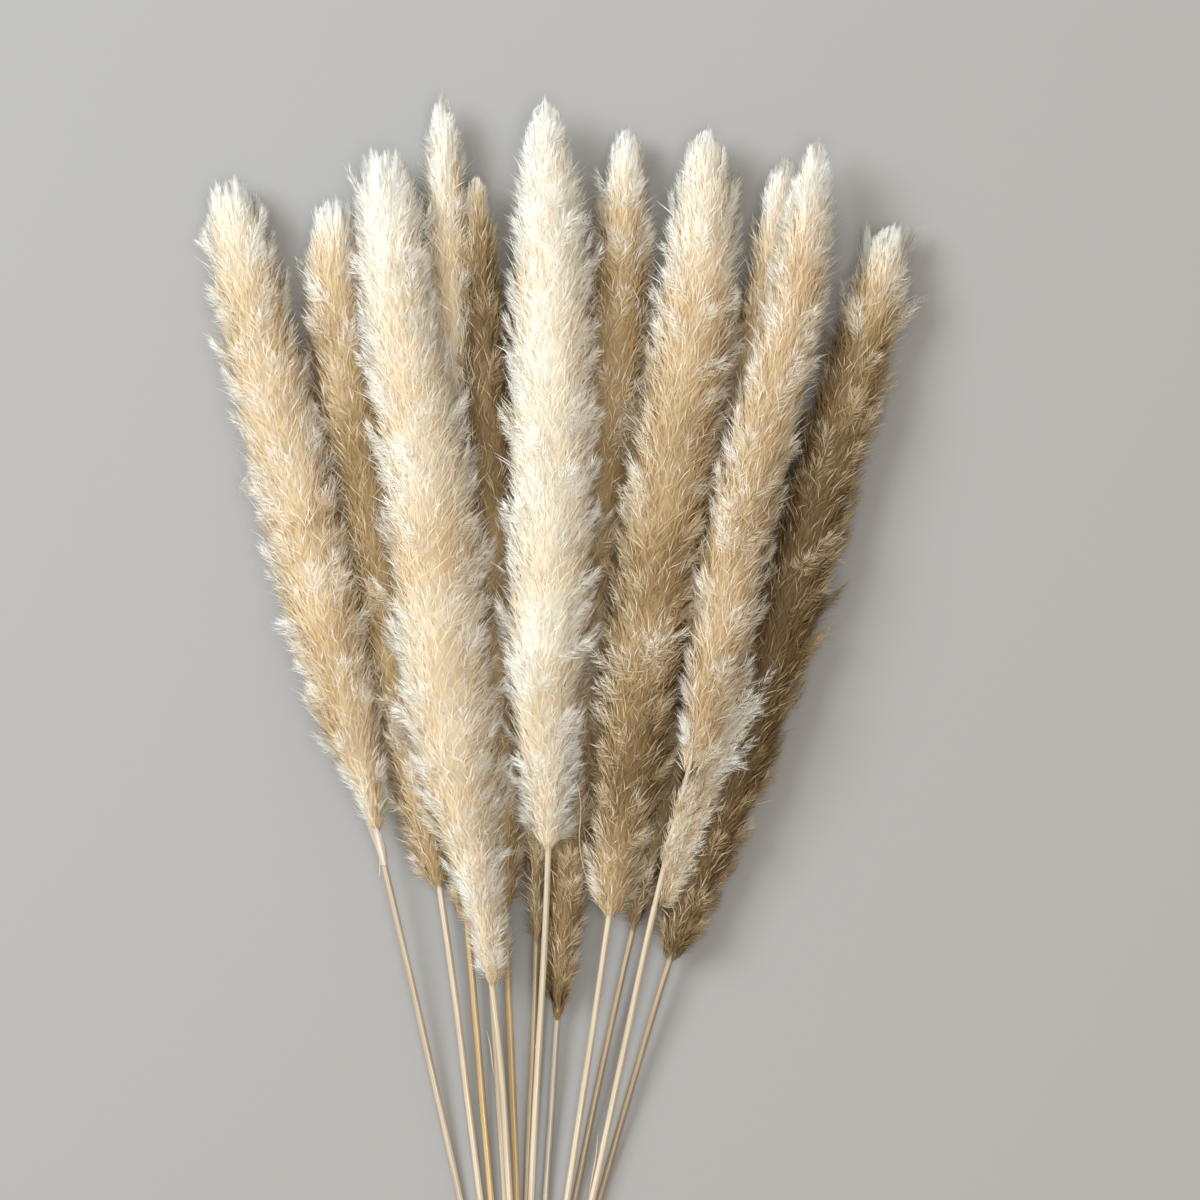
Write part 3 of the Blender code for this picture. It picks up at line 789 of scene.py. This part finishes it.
# The straws: their mesh, the hollow's part of the radius and its depth, where the two joints may be, and
# a joint's rings from its middle, its height and its half length
STEM_SIDES = 16
STEM_RINGS = 40
HOLLOW = 0.55
HOLLOW_DEPTH = 5.0
JOINT_SPANS = ((0.30, 0.42), (0.72, 0.86))
JOINT_RINGS = np.array([-1.6, -0.8, -0.3, 0.0, 0.3, 0.8, 1.6])
JOINT_HEIGHT = 0.13
JOINT_LENGTH = 0.7

# The ridges round a straw, each as how many and how high, and the groove's depth and half width
RIDGES = ((7, 0.035), (4, 0.03))
GROOVE_DEPTH = 0.08
GROOVE_WIDTH = 0.25


def slot_point(stalk, y):
    """The place of a stem's centre in the gathered pile."""
    row, place = stalk.slot
    x = GATHER_X + (place - MIDDLE_PLACE + row / 2) * PITCH
    return (x, y, STEM_RADIUS + row * ROW_RISE)


def stem_axis(stalk):
    """The stem's axis, from the plume's base to the cut end that its solid has."""
    cut_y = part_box("stem_" + stalk.name)[0].y / MM
    route = [*stalk.axis[-2:], stalk.low, slot_point(stalk, GATHER_Y)]
    fanned = catmull_rom(route, STEM_STEPS, finish=(0, -1, 0))[STEM_STEPS:]
    fanned[:, 2] = np.maximum(fanned[:, 2], STEM_RADIUS)
    straight = np.linspace(slot_point(stalk, GATHER_Y), slot_point(stalk, cut_y), AXIS_STEPS)
    return Axis(np.vstack((fanned, straight[1:])))


def tube_arrays(axis, share, radii, angle, close, facing=1.0):
    """A tube through rings at shares of an axis, as corners, loops, face sizes, colour places, normals.

    Each corner has its own radius, and may have its own share and angle. Facing is -1 on inner sides.
    """
    rings, sides = radii.shape
    share_grid = np.broadcast_to(share if share.ndim == 2 else share[:, None], radii.shape)
    normals = axis.outward(share_grid, np.broadcast_to(angle, radii.shape))
    corners = axis.centre(share_grid) + normals * radii[..., None]
    corners[..., 2] = np.maximum(corners[..., 2], 0.5 * FLOOR_CLEAR)
    index, faces = ring_faces(rings, sides)
    around = np.tile(np.arange(sides), rings - 1)
    left = around / sides
    right = (around + 1) / sides
    low = share_grid[:-1].ravel()
    high = share_grid[1:].ravel()
    places = np.stack((np.stack((left, left, right, right), axis=-1),
                       np.stack((low, high, high, low), axis=-1)), axis=-1).reshape(-1, 2)
    sizes = [4] * ((rings - 1) * sides)
    loops = [faces]
    if close:
        loops += [index[0], index[-1][::-1]]
        sizes += [sides, sides]
        places = np.concatenate((places, np.full((2 * sides, 2), 0.5)))
    normals = normals * np.broadcast_to(facing, radii.shape)[..., None]
    return corners.reshape(-1, 3), np.concatenate(loops), np.array(sizes), places, normals.reshape(-1, 3)


ROD_RINGS = 40


def rod_arrays(axis, share, radius, sides):
    """A closed round tube with one radius a ring."""
    angle = np.linspace(0.0, 2.0 * math.pi, sides, endpoint=False)
    return tube_arrays(axis, share, np.repeat(radius[:, None], sides, axis=1), angle, True)


# A sheath: its mesh and thickness, the part of a turn that it covers below and how much less above,
# how much lower its sides end than its middle, and the depth of a V's notch
SHEATH_RINGS = 16
SHEATH_SIDES = 12
SHEATH_THICK = 0.12
SHEATH_TURN = 0.97
SHEATH_OPENING = 0.50
SHEATH_SHOULDER = 0.45
SHEATH_NOTCH = 0.75


def sheath_arrays(axis, sheath, rng):
    """A dry leaf sheath round the stem's top: shut below, split open and flared above."""
    point = sheath.point
    along = np.linspace(1.0, 0.0, SHEATH_RINGS)[:, None]
    across = np.linspace(-1.0, 1.0, SHEATH_SIDES)
    across = np.concatenate((across, across[::-1]))[None, :]
    inside = np.repeat((0.0, 1.0), SHEATH_SIDES)[None, :]
    edge = np.abs(across)
    top = 1.0 - SHEATH_SHOULDER * (1.0 - point) * edge**1.6 - SHEATH_NOTCH * point * (1.0 - edge)
    reach = along * top + point * (1.0 - along) * edge**1.3
    share = (sheath.below - (sheath.below + sheath.above) * reach) / axis.length
    span = math.pi * (SHEATH_TURN - SHEATH_OPENING * along**1.3)
    angle = math.radians(sheath.middle) + span * across
    curl = 1.0 + 0.07 * np.sin(9.0 * reach + rng.uniform(0.0, 6.0) + 3.0 * across)
    flare = (sheath.radius - STEM_RADIUS) * reach**1.5
    radii = (STEM_RADIUS + 0.1 + flare) * curl - SHEATH_THICK * inside
    return tube_arrays(axis, share, radii, angle, True, 1.0 - 2.0 * inside)


# The peeled strips: the stalk, and the y of the end that holds and of the free end
SLIVERS = (("01", -19.0, -24.0), ("05", -89.0, -74.0), ("12", -128.0, -108.0))
SLIVER_RINGS = 14
SLIVER_SIDES = 6


def sliver_arrays(axis, fixed, free):
    """A thin strip that has peeled off the stem's left, from its fixed end to its free one."""
    order = np.argsort(axis.points[:, 1])
    ends = np.interp((fixed, free), axis.points[order, 1], axis.shares[order])
    along = np.linspace(0.0, 1.0, SLIVER_RINGS)
    share = ends[0] + (ends[1] - ends[0]) * along
    left = axis.outward(share, np.full(SLIVER_RINGS, 0.1 * math.pi))
    off = STEM_RADIUS - 0.1 + 1.5 * along**1.5 + 0.15 * np.sin(7.0 * along)
    strip = Axis(axis.centre(share) + left * off[:, None])
    angle = np.linspace(0.0, 2.0 * math.pi, SLIVER_SIDES, endpoint=False)
    taper = 0.25 + 0.75 * np.sin(math.pi * np.clip(along, 0.04, 0.97))
    radii = taper[:, None] * (0.07 + 0.24 * np.abs(np.cos(angle)))[None, :]
    return tube_arrays(strip, along, radii, angle, True)


def make_stem(stalk, materials):
    """A ridged straw with two joints, open at its cut end."""
    rng = np.random.default_rng(SEED + 50 + int(stalk.name))
    axis = stem_axis(stalk)
    angle = np.linspace(-0.5 * math.pi, 1.5 * math.pi, STEM_SIDES, endpoint=False)
    share = np.linspace(0.0, 1.0, STEM_RINGS)
    joints = [rng.uniform(*span) for span in JOINT_SPANS]
    for joint in joints:
        share = np.concatenate((share, joint + JOINT_RINGS / axis.length))
    share = np.sort(share)
    radius = STEM_TOP_RADIUS + (STEM_RADIUS - STEM_TOP_RADIUS) * share
    for joint in joints:
        radius = radius + JOINT_HEIGHT * np.exp(-((share - joint) * axis.length / JOINT_LENGTH) ** 2)
    ridges = sum(height * np.sin(angle * number + rng.uniform(0, 6)) for number, height in RIDGES)
    groove = GROOVE_DEPTH * np.exp(-((angle - rng.uniform(0.2, 2.6)) / GROOVE_WIDTH) ** 2)
    radii = radius[:, None] * (0.98 + ridges - groove)[None, :]
    inner_share = np.array([1.0, 1.0 - HOLLOW_DEPTH / axis.length])
    inner = np.full((2, STEM_SIDES), HOLLOW * STEM_RADIUS)
    outer = tube_arrays(axis, share, radii, angle, False)
    hollow = tube_arrays(axis, inner_share, inner, angle, False)
    top = np.arange(STEM_SIDES)
    edge = top + len(outer[0]) - STEM_SIDES
    mouth = top + len(outer[0])
    rim = np.stack((edge, mouth, np.roll(mouth, -1), np.roll(edge, -1)), axis=-1).ravel()
    floor = mouth + STEM_SIDES
    whole = (np.concatenate((outer[0], hollow[0])),
             np.concatenate((outer[1], hollow[1] + len(outer[0]), rim, floor[::-1], top)),
             np.concatenate((outer[2], hollow[2], [4] * STEM_SIDES, [STEM_SIDES, STEM_SIDES])),
             np.concatenate((outer[3], hollow[3], np.full((len(rim) + 2 * STEM_SIDES, 2), 0.5))),
             np.concatenate((outer[4], -hollow[4])))
    groups = [(0, whole)]
    surfaces = [materials[stalk.straw]]
    if stalk.sheath:
        groups.append((len(surfaces), sheath_arrays(axis, stalk.sheath, rng)))
        surfaces.append(materials[stalk.sheath.colour])
    for name, fixed, free in SLIVERS:
        if name == stalk.name:
            groups.append((len(surfaces), sliver_arrays(axis, fixed, free)))
            surfaces.append(materials["skin"])
    piece = mesh_object("straw_" + stalk.name, groups, surfaces)
    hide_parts("stem_" + stalk.name)
    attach(piece, "root")


def new_material(name):
    """An empty material and its node tree."""
    material = bpy.data.materials.new(name)
    material.use_nodes = True
    tree = material.node_tree
    tree.nodes.clear()
    return material, tree


def add_node(tree, kind, inputs, **settings):
    """A shader node with its settings, whose inputs are values or the outputs that feed them."""
    node = tree.nodes.new("ShaderNode" + kind)
    for name, value in settings.items():
        setattr(node, name, value)
    for name, value in inputs.items():
        if isinstance(value, bpy.types.NodeSocket):
            tree.links.new(value, node.inputs[name])
        else:
            node.inputs[name].default_value = value
    return node


def mapped_material(name):
    """An empty material, its node tree, and the two outputs of the colour map."""
    material, tree = new_material(name)
    uv = add_node(tree, "UVMap", {}, uv_map=UV_NAME)
    split = add_node(tree, "SeparateXYZ", {"Vector": uv.outputs["UV"]})
    return material, tree, split.outputs["X"], split.outputs["Y"]


def ramp(tree, source, stops):
    """The colour that a value picks from stops, each a position and a colour."""
    node = add_node(tree, "ValToRGB", {"Fac": source})
    elements = node.color_ramp.elements
    while len(elements) < len(stops):
        elements.new(0.5)
    for element, (position, colour) in zip(elements, stops):
        element.position = position
        element.color = (*colour, 1.0)
    return node.outputs["Color"]


# The hairs' colours at their tips and roots, by tone
HAIR_TIPS = ((0.0, (0.96, 0.975, 0.99)), (0.25, (0.97, 0.965, 0.935)), (0.5, (0.92, 0.86, 0.73)),
             (0.75, (0.74, 0.61, 0.40)), (1.0, (0.30, 0.20, 0.10)))
HAIR_ROOTS = ((0.0, (0.96, 0.95, 0.915)), (0.25, (0.93, 0.885, 0.775)), (0.5, (0.78, 0.62, 0.37)),
              (0.75, (0.52, 0.36, 0.15)), (1.0, (0.22, 0.14, 0.055)))


def hair_material():
    """Silky hair: the tone picks the colour, which pales from root to tip, and light comes through."""
    material, tree, tone, height = mapped_material("plume_hair")
    tips = ramp(tree, tone, HAIR_TIPS)
    roots = ramp(tree, tone, HAIR_ROOTS)
    mix = add_node(tree, "Mix", {"Factor": height, "A": roots, "B": tips}, data_type="RGBA")
    shader = add_node(tree, "BsdfPrincipled", {
        "Base Color": mix.outputs["Result"],
        "Roughness": 0.55,
        "Specular IOR Level": 0.35,
    })
    glow = add_node(tree, "BsdfTranslucent", {"Color": roots})
    blend = add_node(tree, "MixShader", {"Fac": 0.50, 1: shader.outputs["BSDF"], 2: glow.outputs["BSDF"]})
    add_node(tree, "OutputMaterial", {"Surface": blend.outputs["Shader"]})
    return material


# The straws' colours, each at its dark streaks, its mean and its light streaks, where those are on the
# noise, and the roughness and shine of a glossy straw and of a matt one
STRAWS = {
    "pale": ((0.27, 0.20, 0.13), (0.45, 0.375, 0.275), (0.62, 0.555, 0.455)),
    "cream": ((0.20, 0.145, 0.09), (0.38, 0.31, 0.225), (0.55, 0.485, 0.385)),
    "tan": ((0.14, 0.095, 0.052), (0.27, 0.20, 0.125), (0.43, 0.345, 0.235)),
    "grey": ((0.20, 0.15, 0.11), (0.35, 0.295, 0.235), (0.52, 0.46, 0.39)),
    "gold": ((0.21, 0.125, 0.048), (0.39, 0.265, 0.12), (0.57, 0.43, 0.23)),
    "skin": ((0.28, 0.21, 0.15), (0.43, 0.37, 0.30), (0.58, 0.53, 0.47)),
    "husk": ((0.07, 0.034, 0.011), (0.16, 0.088, 0.032), (0.30, 0.185, 0.085)),
}
STREAK_STOPS = (0.30, 0.50, 0.70)
STREAK_STRETCH = 2.2
GLOSSY = (0.30, 0.9)
MATT = (0.65, 0.2)
MATT_STRAWS = ("husk",)


def straw_material(name, colours):
    """Dry straw: fine streaks along the stem over slow changes of colour."""
    material, tree, around, along = mapped_material("straw_" + name)
    turn = add_node(tree, "Math", {0: around, 1: 2.0 * math.pi}, operation="MULTIPLY").outputs["Value"]
    stretch = add_node(tree, "Math", {0: along, 1: STREAK_STRETCH}, operation="MULTIPLY")
    streak = add_node(tree, "CombineXYZ", {
        "X": add_node(tree, "Math", {0: turn}, operation="COSINE").outputs["Value"],
        "Y": add_node(tree, "Math", {0: turn}, operation="SINE").outputs["Value"],
        "Z": stretch.outputs["Value"],
    })
    noise = add_node(tree, "TexNoise", {
        "Vector": streak.outputs["Vector"],
        "Scale": 3.2,
        "Detail": 5.0,
        "Roughness": 0.65,
    }).outputs["Fac"]
    bump = add_node(tree, "Bump", {"Strength": 0.25, "Distance": 0.0001, "Height": noise})
    roughness, shine = MATT if name in MATT_STRAWS else GLOSSY
    shader = add_node(tree, "BsdfPrincipled", {
        "Base Color": ramp(tree, noise, tuple(zip(STREAK_STOPS, colours))),
        "Roughness": roughness,
        "Specular IOR Level": shine,
        "Normal": bump.outputs["Normal"],
    })
    add_node(tree, "OutputMaterial", {"Surface": shader.outputs["BSDF"]})
    return material


# The floor's half width in metres and its colour
FLOOR_HALF = 4.0
FLOOR_COLOUR = (0.27, 0.27, 0.27, 1.0)


def make_floor():
    """A wide level floor of an even grey under the bundle."""
    mesh = bpy.data.meshes.new("floor")
    corners = [(x * FLOOR_HALF, y * FLOOR_HALF, 0.0) for x, y in ((-1, -1), (1, -1), (1, 1), (-1, 1))]
    mesh.from_pydata(corners, [], [(0, 1, 2, 3)])
    material, tree = new_material("floor_pale")
    shader = add_node(tree, "BsdfPrincipled", {"Base Color": FLOOR_COLOUR, "Roughness": 0.9})
    add_node(tree, "OutputMaterial", {"Surface": shader.outputs["BSDF"]})
    mesh.materials.append(material)
    floor = add_object("floor", mesh)


# The square area lights: name, place and size in metres, watts and colour. All aim at one place.
LIGHTS = (
    ("key", (-1.25, 0.8, 1.5), 1.1, 51.0, (0.90, 0.96, 1.0)),
    ("top", (0.15, 0.0, 2.5), 1.2, 34.0, (1.0, 0.99, 0.96)),
)
LIGHT_TARGET = (0.0, 0.05, 0.0)


def make_lights():
    """A cool key light from the upper left, a light from above and a warm world."""
    for name, place, size, power, colour in LIGHTS:
        data = bpy.data.lights.new(name, "AREA")
        data.shape = "SQUARE"
        data.size = size
        data.energy = power
        data.color = colour
        light = add_object(name, data)
        light.location = place
        facing = np.array(LIGHT_TARGET) - np.array(place)
        light.rotation_euler = Vector(facing).to_track_quat("-Z", "Y").to_euler()
    world = bpy.data.worlds.new("studio")
    world.use_nodes = True
    background = world.node_tree.nodes["Background"]
    background.inputs["Color"].default_value = (1.0, 0.88, 0.70, 1.0)
    background.inputs["Strength"].default_value = 0.60
    bpy.context.scene.world = world


def make_camera():
    """A long lens straight above, at the photograph's frame."""
    data = bpy.data.cameras.new("camera")
    data.lens = LENS
    data.sensor_width = SENSOR
    data.clip_end = 20.0
    camera = add_object("camera", data)
    distance = PHOTO_WIDTH * LENS / SENSOR
    camera.location = (PHOTO_MIDDLE[0] * MM, PHOTO_MIDDLE[1] * MM, (PHOTO_PLANE + distance) * MM)
    bpy.context.scene.camera = camera


def main():
    """The stage, then each stalk's plume and stem."""
    make_camera()
    make_floor()
    make_lights()
    materials = {name: straw_material(name, colours) for name, colours in STRAWS.items()}
    materials["hair"] = hair_material()
    for stalk in STALKS:
        make_plume(stalk, materials)
        make_stem(stalk, materials)
    bpy.context.scene.view_settings.view_transform = "Standard"
    bpy.context.scene.cycles.diffuse_bounces = 8


main()
